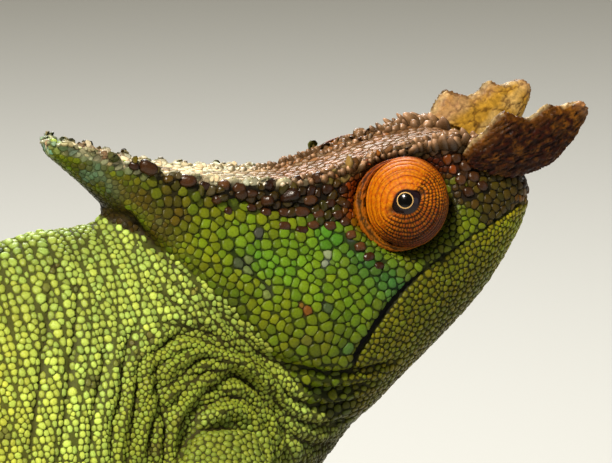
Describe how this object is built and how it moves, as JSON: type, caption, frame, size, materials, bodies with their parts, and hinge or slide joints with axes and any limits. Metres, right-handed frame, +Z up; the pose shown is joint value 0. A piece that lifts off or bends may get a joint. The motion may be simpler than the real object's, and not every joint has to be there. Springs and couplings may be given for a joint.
{
  "type": "parsons chameleon, life-size model on a stand",
  "caption": "Life-size Parson's chameleon with a raised casque and two nasal horns, gripping a cut branch on a display stand, tail coiled.",
  "frame": {"origin": "centre of the stand base's underside, on the floor", "axes": "+X the way the animal faces, along the base; +Y to the animal's left; +Z up"},
  "size_m": [0.3114, 0.124, 0.2412],
  "materials": {
    "scaly_skin": "matte",
    "casque_skin": "satin",
    "lid_skin": "matte",
    "eye": "gloss",
    "bark": "matte",
    "oak": "satin",
    "steel": "brushed"
  },
  "bodies": {
    "root": {"head": "scaly_skin", "lower_jaw": "scaly_skin", "horn_left": "casque_skin", "horn_right": "casque_skin", "eye_turret_left": "lid_skin", "eye_turret_right": "lid_skin", "eye_left": "eye", "eye_right": "eye", "neck": "scaly_skin", "torso": "scaly_skin", "tail_root": "scaly_skin", "tail_fore": "scaly_skin", "tail_bend": "scaly_skin", "tail_coil_outer": "scaly_skin", "tail_coil_middle": "scaly_skin", "tail_coil_inner": "scaly_skin", "upper_arm_left": "scaly_skin", "upper_arm_right": "scaly_skin", "forearm_left": "scaly_skin", "forearm_right": "scaly_skin", "hand_left": "scaly_skin", "hand_right": "scaly_skin", "thigh_left": "scaly_skin", "thigh_right": "scaly_skin", "shank_left": "scaly_skin", "shank_right": "scaly_skin", "foot_left": "scaly_skin", "foot_right": "scaly_skin", "perch": "bark", "stand_base": "oak", "stand_rod_front": "steel", "stand_rod_rear": "steel"}
  },
  "joints": []
}
